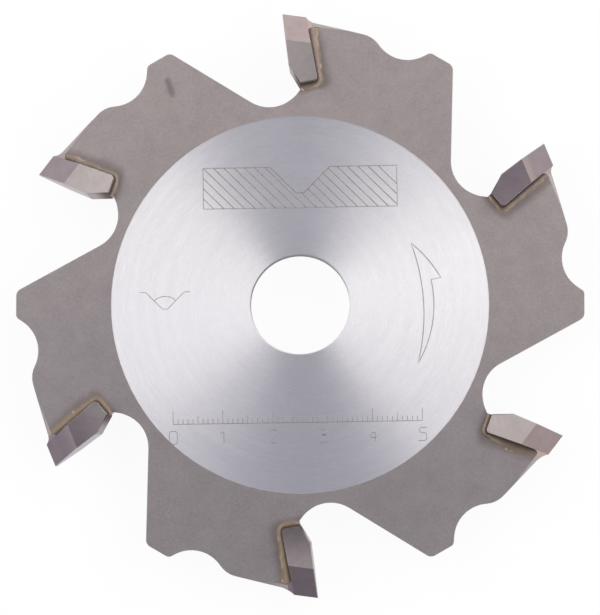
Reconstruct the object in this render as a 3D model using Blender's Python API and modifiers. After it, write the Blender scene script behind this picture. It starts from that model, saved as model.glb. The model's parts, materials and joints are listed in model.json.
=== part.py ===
"""Grooving saw blade: a thick steel plate with six wide carbide tips brazed into it.

The blade lies flat. Z is its axis, the middle of its thickness is Z = 0 and the centre of
its bore is the origin. A tooth is drawn where it stands at the top of the blade: its cutting
edge is on the Y axis, +Y points outwards and +X points back along the tooth, against the
direction of cut. Each tooth is that drawing turned about Z. Seen from +Z, the blade cuts
anticlockwise.
"""

import math

import bmesh
import bpy
from mathutils import Matrix, Vector

# Sizes of the cut, in metres and degrees
CUTTING_DIAMETER = 0.118
CUTTING_WIDTH = 0.014
GROOVE_ANGLE = 90.0
EDGE_FLAT = 0.002
TEETH = 6

# Plate
PLATE_THICKNESS = 0.006
BORE_DIAMETER = 0.020
BORE_CHAMFER = 0.0002
GROUND_DEPTH = 0.0001
GROUND_MARGIN = 0.0022

# Carbide tip
HOOK_ANGLE = 3.7
CLEARANCE_ANGLE = 11.0
SEAT_TILT = 7.0
TIP_THICKNESS = 0.0048
TIP_LENGTH = 0.0135
FOOT_LENGTH = 0.0037
TOE_RISE = 0.0039
HEEL_RADIUS = 0.0007

# Braze between a tip and its seat, with a gap on either side of it
FIT_GAP = 0.0003
BRAZE_THICKNESS = 0.0003
FILLET_WIDTH = 0.0014
FILLET_HEIGHT = 0.0016
SEAM_SETBACK = 0.0007

# Corners of the plate behind a tip: depths are below the cutting circle, and places are
# shares of the pitch, counted from the cutting edge
HEEL_STEP = 0.0014
SHOULDER_DEPTH = 0.0030
SHOULDER_PLACE = 0.313
SHOULDER_RADIUS = 0.0052
NOTCH_DEPTH = 0.0078
NOTCH_PLACE = 0.431
NOTCH_RADIUS = 0.0070
LIMITER_DEPTH = 0.00185
LIMITER_FRONT = 0.515
LIMITER_FRONT_RADIUS = 0.0011
LIMITER_BACK = 0.603
LIMITER_BACK_RADIUS = 0.0016

# Gullet in front of a tip: two straight runs lead down from the seat to its floor
THROAT_RUN = 0.0017
THROAT_SLOPE = 49.0
THROAT_RADIUS = 0.0051
FLOOR_RUN = 0.0061
FLOOR_SLOPE = 36.0
FLOOR_RADIUS = 0.0070

# Fineness of the curved stretches
ARC_STEP = math.radians(8.0)
TURNED_STEPS = 96
SMOOTH_ANGLE = math.radians(30.0)
WELD_DISTANCE = 0.000001
CUTTER_MARGIN = 0.002

# Sizes that follow from those above
CUTTING_RADIUS = CUTTING_DIAMETER / 2
PITCH = math.tau / TEETH
SEAT_OFFSET = FIT_GAP + BRAZE_THICKNESS + FIT_GAP

# Directions in the drawing of a tooth
def heading(degrees):
    """Unit vector in the drawing, at an angle from +X."""
    angle = math.radians(degrees)
    return Vector((math.cos(angle), math.sin(angle)))


BACKWARDS = heading(SEAT_TILT)
UPWARDS = heading(SEAT_TILT + 90.0)
DOWN_THE_RAKE = heading(HOOK_ANGLE - 90.0)
DOWN_THE_TOP = heading(-CLEARANCE_ANGLE)


def polar(depth, place):
    """Point a depth below the cutting circle, a share of the pitch behind the cutting edge."""
    radius = CUTTING_RADIUS - depth
    return Vector((radius * math.sin(place * PITCH), radius * math.cos(place * PITCH)))


def turned(point, angle):
    """Point of the drawing turned anticlockwise about the bore."""
    return Matrix.Rotation(angle, 2) @ point


# Drawing of the tip
def tip_corners():
    """Cutting edge, back of the top, heel, foot and toe of the tip, seen from +Z."""
    edge = Vector((0.0, CUTTING_RADIUS))
    back = edge + TIP_THICKNESS * DOWN_THE_TOP
    heel = back - TIP_LENGTH * UPWARDS
    foot = heel - FOOT_LENGTH * BACKWARDS
    rake_length = ((heel - edge).dot(UPWARDS) + TOE_RISE) / DOWN_THE_RAKE.dot(UPWARDS)
    toe = edge + rake_length * DOWN_THE_RAKE
    return edge, back, heel, foot, toe


def seat_line(offset, setback=0.0):
    """Corners round the tip's foot and back at an offset, ending short of the plate's heel."""
    edge, back, heel, foot, toe = tip_corners()
    front = foot - offset * UPWARDS
    corner = heel - offset * UPWARDS + offset * BACKWARDS
    top = back + offset * BACKWARDS - (HEEL_STEP + setback) * UPWARDS
    return [(front, 0.0), (corner, HEEL_RADIUS + offset), (top, 0.0)]


# Drawing of the plate
def tooth_corners():
    """Corners of the plate from one gullet, over the seat, to the chip limiter's back."""
    seat = seat_line(SEAT_OFFSET)
    throat = seat[0][0] - THROAT_RUN * heading(THROAT_SLOPE)
    floor = throat - FLOOR_RUN * heading(FLOOR_SLOPE)
    return [
        (floor, FLOOR_RADIUS),
        (throat, THROAT_RADIUS),
        *seat,
        (polar(SHOULDER_DEPTH, SHOULDER_PLACE), SHOULDER_RADIUS),
        (polar(NOTCH_DEPTH, NOTCH_PLACE), NOTCH_RADIUS),
        (polar(LIMITER_DEPTH, LIMITER_FRONT), LIMITER_FRONT_RADIUS),
        (polar(LIMITER_DEPTH, LIMITER_BACK), LIMITER_BACK_RADIUS),
    ]


def plate_corners():
    """Corners of the whole plate, tooth after tooth clockwise."""
    return [
        (turned(point, -tooth * PITCH), radius)
        for tooth in range(TEETH)
        for point, radius in tooth_corners()
    ]


def arc_points(corner, before, after, reach):
    """Points of the arc that rounds a corner between two directions, from reach to reach."""
    turn = math.atan2(before.cross(after), before.dot(after))
    if reach <= 0.0 or abs(turn) < ARC_STEP / 10:
        return [corner]
    start = corner - reach * before
    radius = reach / math.tan(turn / 2)
    centre = start + radius * Vector((-before.y, before.x))
    steps = math.ceil(abs(turn) / ARC_STEP)
    return [
        centre + turned(start - centre, turn * step / steps)
        for step in range(steps + 1)
    ]


def rounded(corners, closed=True):
    """Points of an outline whose corners are (point, radius), limited to what the legs hold."""
    points = [point for point, radius in corners]
    count = len(points)
    legs = [points[(i + 1) % count] - points[i] for i in range(count)]
    reaches = []
    for i in range(count):
        turn = legs[i - 1].angle(legs[i])
        reaches.append(corners[i][1] * math.tan(turn / 2))
    outline = []
    for i in range(count):
        if not closed and i in (0, count - 1):
            outline.append(points[i])
            continue
        before = reaches[i - 1] + reaches[i]
        after = reaches[i] + reaches[(i + 1) % count]
        share = min(1.0, legs[i - 1].length / max(before, WELD_DISTANCE))
        share = min(share, legs[i].length / max(after, WELD_DISTANCE))
        reach = reaches[i] * share
        outline += arc_points(points[i], legs[i - 1].normalized(), legs[i].normalized(), reach)
    return outline


# Building tools
def clear_scene():
    """Removes every object and collection that is there already."""
    for item in list(bpy.data.objects):
        bpy.data.objects.remove(item)
    for group in list(bpy.data.collections):
        bpy.data.collections.remove(group)


def new_collection(name):
    """Collection linked to the scene."""
    group = bpy.data.collections.new(name)
    bpy.context.scene.collection.children.link(group)
    return group


def make_material(name, color, roughness, metallic):
    """Principled material of one colour."""
    material = bpy.data.materials.new(name)
    material.use_nodes = True
    shader = material.node_tree.nodes["Principled BSDF"]
    shader.inputs["Base Color"].default_value = (*color, 1.0)
    shader.inputs["Roughness"].default_value = roughness
    shader.inputs["Metallic"].default_value = metallic
    material.diffuse_color = (*color, 1.0)
    return material


def poly_curve(name, points, dimensions, closed):
    """Curve object of one straight-sided spline through points of the drawing."""
    curve = bpy.data.curves.new(name, "CURVE")
    curve.dimensions = dimensions
    spline = curve.splines.new("POLY")
    spline.points.add(len(points) - 1)
    for control, point in zip(spline.points, points):
        control.co = (point.x, point.y, 0.0, 1.0)
    spline.use_cyclic_u = closed
    return bpy.data.objects.new(name, curve)


def flat_shape(name, points, thickness):
    """Curve object filled inside an outline and as thick as asked, about Z = 0."""
    shape = poly_curve(name, points, "2D", True)
    shape.data.fill_mode = "BOTH"
    shape.data.extrude = thickness / 2
    return shape


def turned_shape(name, profile):
    """Mesh object turned about Z from a profile of (radius, height), from top to bottom."""
    mesh = bpy.data.meshes.new(name)
    edges = [(i, i + 1) for i in range(len(profile) - 1)]
    mesh.from_pydata([(radius, 0.0, height) for radius, height in profile], edges, [])
    shape = bpy.data.objects.new(name, mesh)
    screw = shape.modifiers.new("turn", "SCREW")
    screw.steps = TURNED_STEPS
    screw.render_steps = TURNED_STEPS
    screw.use_merge_vertices = True
    screw.merge_threshold = WELD_DISTANCE
    return shape


def solid_mesh(shape):
    """Closed mesh of an object with its modifiers applied. The object is removed."""
    bpy.context.view_layer.update()
    evaluated = shape.evaluated_get(bpy.context.evaluated_depsgraph_get())
    mesh = bpy.data.meshes.new_from_object(evaluated)
    mesh.transform(shape.matrix_world)
    work = bmesh.new()
    work.from_mesh(mesh)
    bmesh.ops.remove_doubles(work, verts=work.verts, dist=WELD_DISTANCE)
    bmesh.ops.recalc_face_normals(work, faces=work.faces)
    work.to_mesh(mesh)
    work.free()
    bpy.data.objects.remove(shape)
    return mesh


def combine(name, base, tool, operation, group):
    """Closed mesh of two objects under a Boolean operation. Both objects are removed."""
    solids = []
    for shape in (base, tool):
        group.objects.link(shape)
        mesh = solid_mesh(shape)
        solid = bpy.data.objects.new(name, mesh)
        solid.hide_render = True
        solid.display_type = "WIRE"
        group.objects.link(solid)
        solids.append(solid)
    boolean = solids[0].modifiers.new("combine", "BOOLEAN")
    boolean.object = solids[1]
    boolean.operation = operation
    boolean.solver = "EXACT"
    mesh = solid_mesh(solids[0])
    bpy.data.objects.remove(solids[1])
    mesh.name = name
    return mesh


def finish_mesh(mesh, material):
    """Gives a mesh its material, with smooth curves and crisp edges."""
    mesh.materials.clear()
    mesh.materials.append(material)
    mesh.shade_smooth()
    mesh.set_sharp_from_angle(angle=SMOOTH_ANGLE)


def place(name, mesh, group, angle=0.0):
    """Object that shows a mesh, turned about the blade's axis."""
    piece = bpy.data.objects.new(name, mesh)
    piece.rotation_euler.z = angle
    group.objects.link(piece)
    return piece


# Steel plate
def bore_cutter(ground_radius):
    """Spool that cuts the bore with its chamfers and the ground land on both faces."""
    bore = BORE_DIAMETER / 2
    land = PLATE_THICKNESS / 2 - GROUND_DEPTH
    outside = PLATE_THICKNESS / 2 + CUTTER_MARGIN
    upper = [
        (0.0, outside),
        (ground_radius, outside),
        (ground_radius, land),
        (bore + BORE_CHAMFER, land),
        (bore, land - BORE_CHAMFER),
    ]
    lower = [(radius, -height) for radius, height in reversed(upper)]
    return turned_shape("bore_cutter", upper + lower)


def plate_mesh(workshop):
    """Plate with its gullets, chip limiters, seats, ground lands and bore."""
    outline = rounded(plate_corners())
    ground_radius = min(point.length for point in outline) - GROUND_MARGIN
    blank = flat_shape("plate_blank", outline, PLATE_THICKNESS)
    return combine("plate", blank, bore_cutter(ground_radius), "DIFFERENCE", workshop)


# Carbide tip
def groove_profile():
    """Section of the groove that a tip cuts, seen along the cut, with its flat at Y = 0."""
    half_flat = EDGE_FLAT / 2
    half_width = CUTTING_WIDTH / 2
    radial_drop = (half_width - half_flat) / math.tan(math.radians(GROOVE_ANGLE) / 2)
    edge_on_rake = radial_drop / -DOWN_THE_RAKE.y * DOWN_THE_RAKE
    across_top = Vector((-DOWN_THE_TOP.y, DOWN_THE_TOP.x))
    drop = -edge_on_rake.dot(across_top)
    depth = TIP_LENGTH + CUTTER_MARGIN
    right = [(half_flat, 0.0), (half_width, -drop), (half_width, -depth)]
    left = [(-across, height) for across, height in reversed(right)]
    return [Vector(point) for point in right + left]


def tip_mesh(workshop):
    """Tip with its rake, back, foot and toe, cut to the groove's section along its top."""
    edge, back, heel, foot, toe = tip_corners()
    above_edge = edge - CUTTER_MARGIN * DOWN_THE_RAKE
    above_back = back + CUTTER_MARGIN * UPWARDS
    sides = [(above_edge, 0.0), (above_back, 0.0), (heel, HEEL_RADIUS), (foot, 0.0), (toe, 0.0)]
    blank = flat_shape("tip_blank", rounded(sides), CUTTING_WIDTH + CUTTER_MARGIN)
    section = flat_shape("tip_section", groove_profile(), 2 * CUTTING_WIDTH)
    along = DOWN_THE_TOP.to_3d()
    out = Vector((-along.y, along.x, 0.0))
    turn = Matrix((out.cross(along), out, along)).transposed()
    section.matrix_world = Matrix.Translation(edge.to_3d()) @ turn.to_4x4()
    return combine("carbide_tip", blank, section, "INTERSECT", workshop)


# Braze seam
def braze_section():
    """Section across the seam: a thin wall with a hollow fillet over each face of the plate."""
    face = PLATE_THICKNESS / 2 + FIT_GAP
    top = face + FILLET_HEIGHT
    hollow = []
    for step in range(5):
        angle = math.radians(90.0 * step / 4)
        across = BRAZE_THICKNESS + (FILLET_WIDTH - BRAZE_THICKNESS) * (1 - math.sin(angle))
        hollow.append((across, face + FILLET_HEIGHT * (1 - math.cos(angle))))
    upper = [(0.0, top), *reversed(hollow), (BRAZE_THICKNESS, face)]
    lower = [(across, -height) for across, height in reversed(upper)]
    return [Vector(point) for point in upper + lower]


def braze_mesh(workshop):
    """Seam swept along the tip's foot and back."""
    section = poly_curve("braze_section", braze_section(), "2D", True)
    path = rounded(seat_line(FIT_GAP, SEAM_SETBACK), closed=False)
    seam = poly_curve("braze_seam", path, "3D", False)
    seam.data.twist_mode = "Z_UP"
    seam.data.bevel_mode = "OBJECT"
    seam.data.bevel_object = section
    seam.data.use_fill_caps = True
    workshop.objects.link(section)
    workshop.objects.link(seam)
    mesh = solid_mesh(seam)
    bpy.data.objects.remove(section)
    return mesh


# Whole blade
def build_blade():
    """Builds the plate, and a tip and a braze seam for each tooth."""
    clear_scene()
    blade = new_collection("grooving_saw_blade")
    workshop = new_collection("cutters")
    steel = make_material("blasted_steel", (0.30, 0.27, 0.26), 0.48, 1.0)
    carbide = make_material("carbide", (0.36, 0.33, 0.34), 0.38, 1.0)
    braze = make_material("braze", (0.32, 0.24, 0.15), 0.45, 1.0)

    plate = plate_mesh(workshop)
    tip = tip_mesh(workshop)
    seam = braze_mesh(workshop)
    for mesh, material in ((plate, steel), (tip, carbide), (seam, braze)):
        finish_mesh(mesh, material)

    place("blade_body", plate, blade)
    for tooth in range(TEETH):
        place(f"carbide_tip_{tooth + 1}", tip, blade, tooth * PITCH)
        place(f"braze_seam_{tooth + 1}", seam, blade, tooth * PITCH)


build_blade()
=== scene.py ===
import json
import math

import bmesh
import bpy
from mathutils import Matrix, Vector


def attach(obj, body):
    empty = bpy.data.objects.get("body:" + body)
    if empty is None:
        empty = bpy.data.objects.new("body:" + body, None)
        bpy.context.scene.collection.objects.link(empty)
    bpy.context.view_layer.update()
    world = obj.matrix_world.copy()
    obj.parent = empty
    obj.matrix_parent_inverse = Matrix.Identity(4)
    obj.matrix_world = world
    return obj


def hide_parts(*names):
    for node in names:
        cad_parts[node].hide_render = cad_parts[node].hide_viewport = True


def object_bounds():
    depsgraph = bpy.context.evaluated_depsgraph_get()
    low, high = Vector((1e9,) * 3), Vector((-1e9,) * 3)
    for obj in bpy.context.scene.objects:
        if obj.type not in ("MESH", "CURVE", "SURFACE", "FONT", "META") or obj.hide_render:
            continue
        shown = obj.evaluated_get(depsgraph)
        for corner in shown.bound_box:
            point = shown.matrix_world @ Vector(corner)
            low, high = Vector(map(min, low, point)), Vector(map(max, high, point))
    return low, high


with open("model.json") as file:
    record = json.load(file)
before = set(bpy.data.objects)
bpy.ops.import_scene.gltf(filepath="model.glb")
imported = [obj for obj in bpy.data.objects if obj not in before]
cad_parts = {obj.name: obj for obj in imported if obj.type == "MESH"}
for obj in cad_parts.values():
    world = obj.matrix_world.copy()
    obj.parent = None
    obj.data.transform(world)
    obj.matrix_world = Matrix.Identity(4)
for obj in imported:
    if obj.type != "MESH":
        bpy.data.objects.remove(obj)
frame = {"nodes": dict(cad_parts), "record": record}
cad_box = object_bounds()

# Grooving saw blade, lying flat with its axis on Z. A tooth is drawn where it stands at the
# top of the blade: +Y points outwards and +X points back along the tooth, against the cut.

# Slants of a tooth, as in the solids, in degrees: the tip's seat, the tip's top and the top
# of the plate behind it
SEAT_TILT = 7.0
CLEARANCE_ANGLE = 11.0
PLATE_FALL = 17.17

# Edges, in metres, the angles that tell flat, smooth and sharp ones apart, and steps of arcs
PLATE_BREAK = 0.00014
TIP_BREAK = 0.00005
WELD_DISTANCE = 0.000001
FLAT_ANGLE = math.radians(0.5)
SMOOTH_ANGLE = math.radians(40.0)
TIP_CORNER = math.radians(20.0)
ARC_STEP = math.radians(8.0)
FINE_ARC_STEP = math.radians(3.0)

# Ground slope behind each tip, which carries on the tip's bevel, in metres
SLOPE_START = 0.003
SLOPE_END = 0.018
SLOPE_MARGIN = 0.001

# Braze fillet, in metres. Each tooth has its spread on the plate at the foot's front, at the
# corner, half way up the back and at the back's end. A taper leaves a share of the spread.
FILLET_HEIGHT = 0.0011
FILLET_SINK = 0.0001
SPREAD_NAMES = ("Front Spread", "Corner Spread", "Middle Spread", "End Spread")
FILLET_SPREADS = (
    (0.0017, 0.0012, 0.0017, 0.0021),
    (0.0012, 0.0010, 0.0014, 0.0017),
    (0.0014, 0.0012, 0.0018, 0.0017),
    (0.0014, 0.0013, 0.0016, 0.0022),
    (0.0009, 0.0008, 0.0022, 0.0009),
    (0.0010, 0.0012, 0.0014, 0.0013),
)
FRONT_TAPER = 0.0012
FRONT_SHARE = 0.65
END_TAPER = 0.0014
END_SHARE = 0.25
FILLET_STEPS = 8
SEAT_GAP = 0.0009
HEEL_RADIUS = 0.0007
HEEL_STEP = 0.0014
PATH_STEP = 0.0002
LUMP_LENGTH = 0.0016
LUMP_DEPTH = 0.0005
LUMP_RISE = 400.0
SEED_STEP = 7.0
FLUSH_SLOT = 1

# Braze in the corner between each tip's back and the plate's top, in metres
HEEL_FILLS = (0.0006, 0.0004, 0.0001, 0.0015, 0.0012, 0.0001)
HEEL_HOLLOW = 0.0002
HEEL_SINK = 0.00002
HEEL_OVERLAP = 0.0003

# Place of the braze's colours across a fillet: 0 at the tip, 1 at the toe and more inside the
# joint. A heel fill has one place across it, and a run that is past the flecked front.
JOINT_SPREAD = 0.4
HEEL_SPREAD = 0.5
HEEL_RUN = 1.0

# Colour of each tip's bevels, with the light and shade that falls on each tip painted into it
BEVEL_LIT_COLORS = (
    (0.505, 0.412, 0.383),
    (0.404, 0.34, 0.35),
    (0.298, 0.252, 0.28),
    (0.226, 0.183, 0.208),
    (0.517, 0.409, 0.385),
    (0.385, 0.32, 0.325),
)

# Painted light and shade on each tip's sides, at the bevel and at the foot, and strength of a
# painted highlight band on its bevels, with the band's width in metres
HIGHLIGHT_BAND_WIDTH = 0.0009
SIDE_PAINTED_LIGHT = (
    (0.78, 0.75, 0.0),
    (0.88, 0.97, 0.0),
    (0.71, 1.00, 0.8),
    (0.69, 0.34, 0.0),
    (0.92, 0.95, 0.0),
    (0.66, 0.67, 0.8),
)

# Marks on the ground land, in metres and degrees, seen with the photograph upright
MARKS_TURN = -2.6
LINE_WIDTH = 0.00019
THIN_LINE_WIDTH = 0.00014
LINE_RELIEF = 0.00001
ARROW_POINT = (0.0255, 28.0)
ARROW_WAIST = (0.0248, 4.0)
ARROW_TAIL = (0.0265, -27.5)
ARROW_CHEEK = (0.02705, 19.6)
ARROW_BARB = (0.0288, 9.9)
ARROW_SHOULDER = (0.0268, 9.8)
ARROW_BELLY = (0.0269, -6.5)
RULE_CENTRE = (-0.0008, -0.0237)
RULE_STEP = 0.001
RULE_STEPS = 50
RULE_TICKS = {10: 0.0026, 5: 0.0016, 1: 0.0010}
DIGIT_STEPS = 10
DIGIT_HEIGHT = 0.0026
DIGIT_WIDTH = 0.0016
DIGIT_DROP = 0.0014
BOARD_CENTRE = (0.0004, 0.0236)
BOARD_SIZE = (0.039, 0.0082)
BOARD_GROOVE = (0.012, 0.0052)
HATCH_STEP = 0.00207
CORNER_CENTRE = (-0.0271, 0.0012)
CORNER_SIZE = (0.0100, 0.0034)
CORNER_FLAT = 0.0010
CORNER_ARC = 0.9
CORNER_ARC_ANGLES = range(45, 136, 10)

# Strokes of the digits 0 to 5, each a path on a grid and whether it is closed
DIGIT_GRID = (2, 4)
DIGITS = (
    [([(0, 0), (2, 0), (2, 4), (0, 4)], True)],
    [([(0.4, 3), (1.2, 4), (1.2, 0)], False)],
    [([(0, 3.2), (0, 4), (2, 4), (2, 2.2), (0, 0), (2, 0)], False)],
    [
        ([(0, 4), (2, 4), (2, 2.2), (0.8, 2.2)], False),
        ([(0.8, 2.2), (2, 2.2), (2, 0), (0, 0)], False),
    ],
    [([(1.6, 0), (1.6, 4), (0, 1.2), (2, 1.2)], False)],
    [([(2, 4), (0.2, 4), (0.2, 2.4), (2, 2.4), (2, 0), (0, 0)], False)],
)

# Colours of the finishes. A pair is the dark and the light end of a metal's grain, but the
# pair of the relief under a tip's face goes down to its foot. The braze's stops go from the tip
# to the joint.
PLATE_COLORS = ((0.372, 0.325, 0.313), (0.508, 0.446, 0.426))
LAND_COLORS = ((0.80, 0.79, 0.81), (0.99, 0.975, 0.975))
# The bore's pair is painted shade on its wall
BORE_SHADE_COLORS = ((0.17, 0.16, 0.165), (0.23, 0.215, 0.22))
SLOPE_COLORS = ((0.395, 0.352, 0.335), (0.50, 0.446, 0.425))
SIDE_COLORS = ((0.44, 0.396, 0.394), (0.548, 0.49, 0.487))
SIGN_COLORS = ((0.30, 0.245, 0.22), (0.46, 0.395, 0.365))
FIGURE_COLORS = ((0.32, 0.28, 0.27), (0.45, 0.405, 0.395))
RAKE_COLOR = (0.50, 0.465, 0.48)
RELIEF_COLORS = ((0.50, 0.44, 0.45), (0.13, 0.095, 0.085))
# The braze's dark first stops are painted shade in the crease by the tip; the later ones are its
# own colour
BRAZE_AND_CREASE_SHADE_STOPS = (
    (0.03, (0.13, 0.100, 0.080)),
    (0.16, (0.20, 0.156, 0.126)),
    (0.36, (0.305, 0.246, 0.200)),
    (0.54, (0.307, 0.249, 0.204)),
    (0.66, (0.300, 0.248, 0.208)),
    (0.76, (0.300, 0.256, 0.234)),
)
# Painted highlight on patches near the braze's toe, and gold flecks that are partly painted glints
TOE_HIGHLIGHT_COLOR = (0.45, 0.375, 0.28)
FLECK_GLINT_COLOR = (0.72, 0.57, 0.40)

# Casts, which colours are multiplied by: on a tip's sides where their painted light is light,
# dark, or dark on a tip with a highlight band, then on the painted highlight band, and on the
# light grain of flush braze
LIT_SIDE_CAST = (1.0, 1.0, 0.97)
SHADED_SIDE_CAST = (1.0, 0.98, 1.02)
HIGHLIGHTED_TIP_CAST = (0.985, 0.90, 0.96)
BAND_HIGHLIGHT = (1.30, 1.25, 1.15)
FLUSH_WARMTH = (1.12, 1.04, 0.94)

# Side that painted light brightens, and the painted shade of three finishes on the other side
LIT_SIDE = Vector((0.34, 0.94))
PLATE_SHADE = (0.82, 0.845, 0.87)
LAND_SHADE = (0.865, 0.865, 0.89)
BRAZE_SHADE = (0.88, 0.86, 0.80)

# Brown darkening round each seat, between two distances from the tip in metres. It fades faster
# below the foot than behind the back.
TINT_COLOR = (0.25, 0.21, 0.19)
TINT_STRENGTH = 0.75
TINT_START = 0.0013
TINT_END = 0.0034
FOOT_FADE = 1.5

# Dark smear near the second gullet, in metres
SMEAR_COLOR = (0.16, 0.14, 0.14)
SMEAR_STRENGTH = 0.6
SMEAR_START = (-0.02385, 0.04670)
SMEAR_END = (-0.02316, 0.04400)
SMEAR_WIDTH = 0.0011

# How far the mottling of the steel moves the edges of the tint and of the smear, in metres
TINT_RAGGEDNESS = 0.0015
SMEAR_RAGGEDNESS = 0.0005

# Front of a braze fillet, with more gold flecks and their painted glints, between two lengths along
# it in metres
GLINTING_FRONT = (0.0005, 0.0012)

# Noise in cells per metre. The scratches' are across them, along them and through the tip.
PLATE_GRAIN = 4200.0
PLATE_MOTTLE = 260.0
PLATE_CLOUDS = 45.0
SCRATCHES = (5200.0, 300.0, 900.0)
TIP_BLOTCHES = 420.0
BRAZE_GRAIN = 4500.0
BRAZE_BLOTCHES = 900.0
TOE_HIGHLIGHT_CELLS = 330.0
FLECK_GLINT_CELLS = 620.0

# Rings on the ground land: cells per metre across them, and cells along them
FINE_RINGS = (9000.0, 13.0)
SHORT_RINGS = (5000.0, 40.0)
RING_BANDS = (700.0, 2.0)
RING_ARCS = (2600.0, 9.0)

# Metals with one grain: roughness, bump in metres, cells per metre, noise detail and roughness
BORE_GRAIN = (0.55, 0.000004, 2400.0, 2.0, 0.5)
SLOPE_GRAIN = (0.34, 0.000006, 3000.0, 3.0, 0.6)
FLUSH_GRAIN = (0.36, 0.000006, 3000.0, 3.0, 0.6)
LINE_GRAIN = (0.5, 0.000003, 2600.0, 2.0, 0.5)

# Bumps of the other finishes, in metres
PLATE_BUMP = 0.00001
LAND_BUMP = 0.000004
TIP_BUMP = 0.000003
BRAZE_BUMP = 0.00003

# Camera, in metres, degrees and a lens in millimetres, and studio
CAMERA_PLACE = (0.01103, -0.03324, 0.66595)
CAMERA_TILT = (2.7999, 0.9961, -0.8926)
CAMERA_LENS = 193.487
CAMERA_SENSOR = 36.0
PHOTO_TURN = -2.604
FLOOR_SIZE = 6.0
FLOOR_COLOR = (0.92, 0.92, 0.92, 1.0)
FLOOR_GLOW = 0.93
WHITE = (1.0, 1.0, 1.0, 1.0)
ROOM_COLOR = (0.97, 0.965, 1.075, 1.0)
LAMP_COLOR = (1.0, 0.98, 0.93)

# Soft boxes: azimuth and slant in degrees, distance and size in metres, and power in watts
SOFT_BOXES = {
    "left_box": (167.0, 42.0, 0.9, (1.3, 0.5), 4.3),
    "right_box": (5.0, 42.0, 0.9, (2.15, 0.5), 6.2),
}


def heading(degrees):
    """Unit vector in the drawing, at an angle from +X."""
    angle = math.radians(degrees)
    return Vector((math.cos(angle), math.sin(angle)))


def reach(points, direction):
    """Farthest that points go in a direction of the drawing."""
    return max(point.xy.dot(direction) for point in points)


# Sizes read from the frame
BACK = heading(SEAT_TILT)
UP = heading(SEAT_TILT + 90.0)
ALONG_TOP = heading(-CLEARANCE_ANGLE)
OUT = heading(90.0 - CLEARANCE_ANGLE)
TIP_NODES = sorted(name for name in frame["nodes"] if name.startswith("carbide_tip_"))
SEAM_NODES = sorted(name for name in frame["nodes"] if name.startswith("braze_seam_"))
TEETH = len(TIP_NODES)
PITCH = math.tau / TEETH
PLATE_POINTS = [vertex.co for vertex in frame["nodes"]["blade_body"].data.vertices]
TIP_POINTS = [vertex.co for vertex in frame["nodes"]["carbide_tip_1"].data.vertices]
PLATE_FACE = max(point.z for point in PLATE_POINTS)
LAND_FACE = frame["record"]["mounts"][0]["pos_m"][2]
BORE_RADIUS = min(point.xy.length for point in PLATE_POINTS)
LAND_RADIUS = max(
    point.xy.length for point in PLATE_POINTS if abs(point.z - LAND_FACE) < WELD_DISTANCE
)
HALF_WIDTH = max(point.z for point in TIP_POINTS)
CUTTING_EDGE = Vector((0.0, max(point.y for point in TIP_POINTS)))
TOP_LEVEL = reach(TIP_POINTS, OUT)
EDGE_POINTS = [point for point in TIP_POINTS if TOP_LEVEL - point.xy.dot(OUT) < WELD_DISTANCE]
HALF_EDGE = max(point.z for point in EDGE_POINTS)
SIDE_POINTS = [point for point in TIP_POINTS if HALF_WIDTH - point.z < WELD_DISTANCE]
BEVEL_DROP = TOP_LEVEL - reach(SIDE_POINTS, OUT)
TIP_BACK = reach(TIP_POINTS, BACK)
TIP_FOOT = -reach(TIP_POINTS, -UP)
FOOT_POINTS = [point for point in TIP_POINTS if point.xy.dot(UP) - TIP_FOOT < WELD_DISTANCE]
FOOT_FRONT = -reach(FOOT_POINTS, -BACK)
BACK_POINTS = [point for point in TIP_POINTS if TIP_BACK - point.xy.dot(BACK) < WELD_DISTANCE]
BACK_TOP = reach(BACK_POINTS, UP)
RAKE_END = min(TIP_POINTS, key=lambda point: point.xy.dot(BACK)).xy
BEVEL_SLOPE = BEVEL_DROP / (HALF_WIDTH - HALF_EDGE)
FOOT_CORNER = BACK * FOOT_FRONT + UP * TIP_FOOT
SEAT_CORNER = BACK * (TIP_BACK + SEAT_GAP) + UP * (BACK_TOP - HEEL_STEP)
ALONG_PLATE = heading(-PLATE_FALL)


# Node trees
class Field:
    """Output of a node, for sums that are written as Python expressions."""

    def __init__(self, graph, socket):
        self.graph = graph
        self.socket = socket

    def other(self, name):
        """Another output of the same node."""
        return Field(self.graph, self.socket.node.outputs[name])

    def __add__(self, value):
        return self.graph.maths("ADD", self, value)

    def __sub__(self, value):
        return self.graph.maths("SUBTRACT", self, value)

    def __rsub__(self, value):
        return self.graph.maths("SUBTRACT", value, self)

    def __mul__(self, value):
        return self.graph.maths("MULTIPLY", self, value)

    def __truediv__(self, value):
        return self.graph.maths("DIVIDE", self, value)

    def __pow__(self, value):
        return self.graph.maths("POWER", self, value)

    def __abs__(self):
        return self.graph.maths("ABSOLUTE", self)

    __radd__ = __add__
    __rmul__ = __mul__

    def least(self, value):
        return self.graph.maths("MINIMUM", self, value)

    def most(self, value):
        return self.graph.maths("MAXIMUM", self, value)

    def rise(self, low, high):
        """Smooth step from 0 at low to 1 at high."""
        sockets = {"Value": self, "From Min": low, "From Max": high}
        return self.graph.node("ShaderNodeMapRange", {"interpolation_type": "SMOOTHSTEP"}, sockets)


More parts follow.
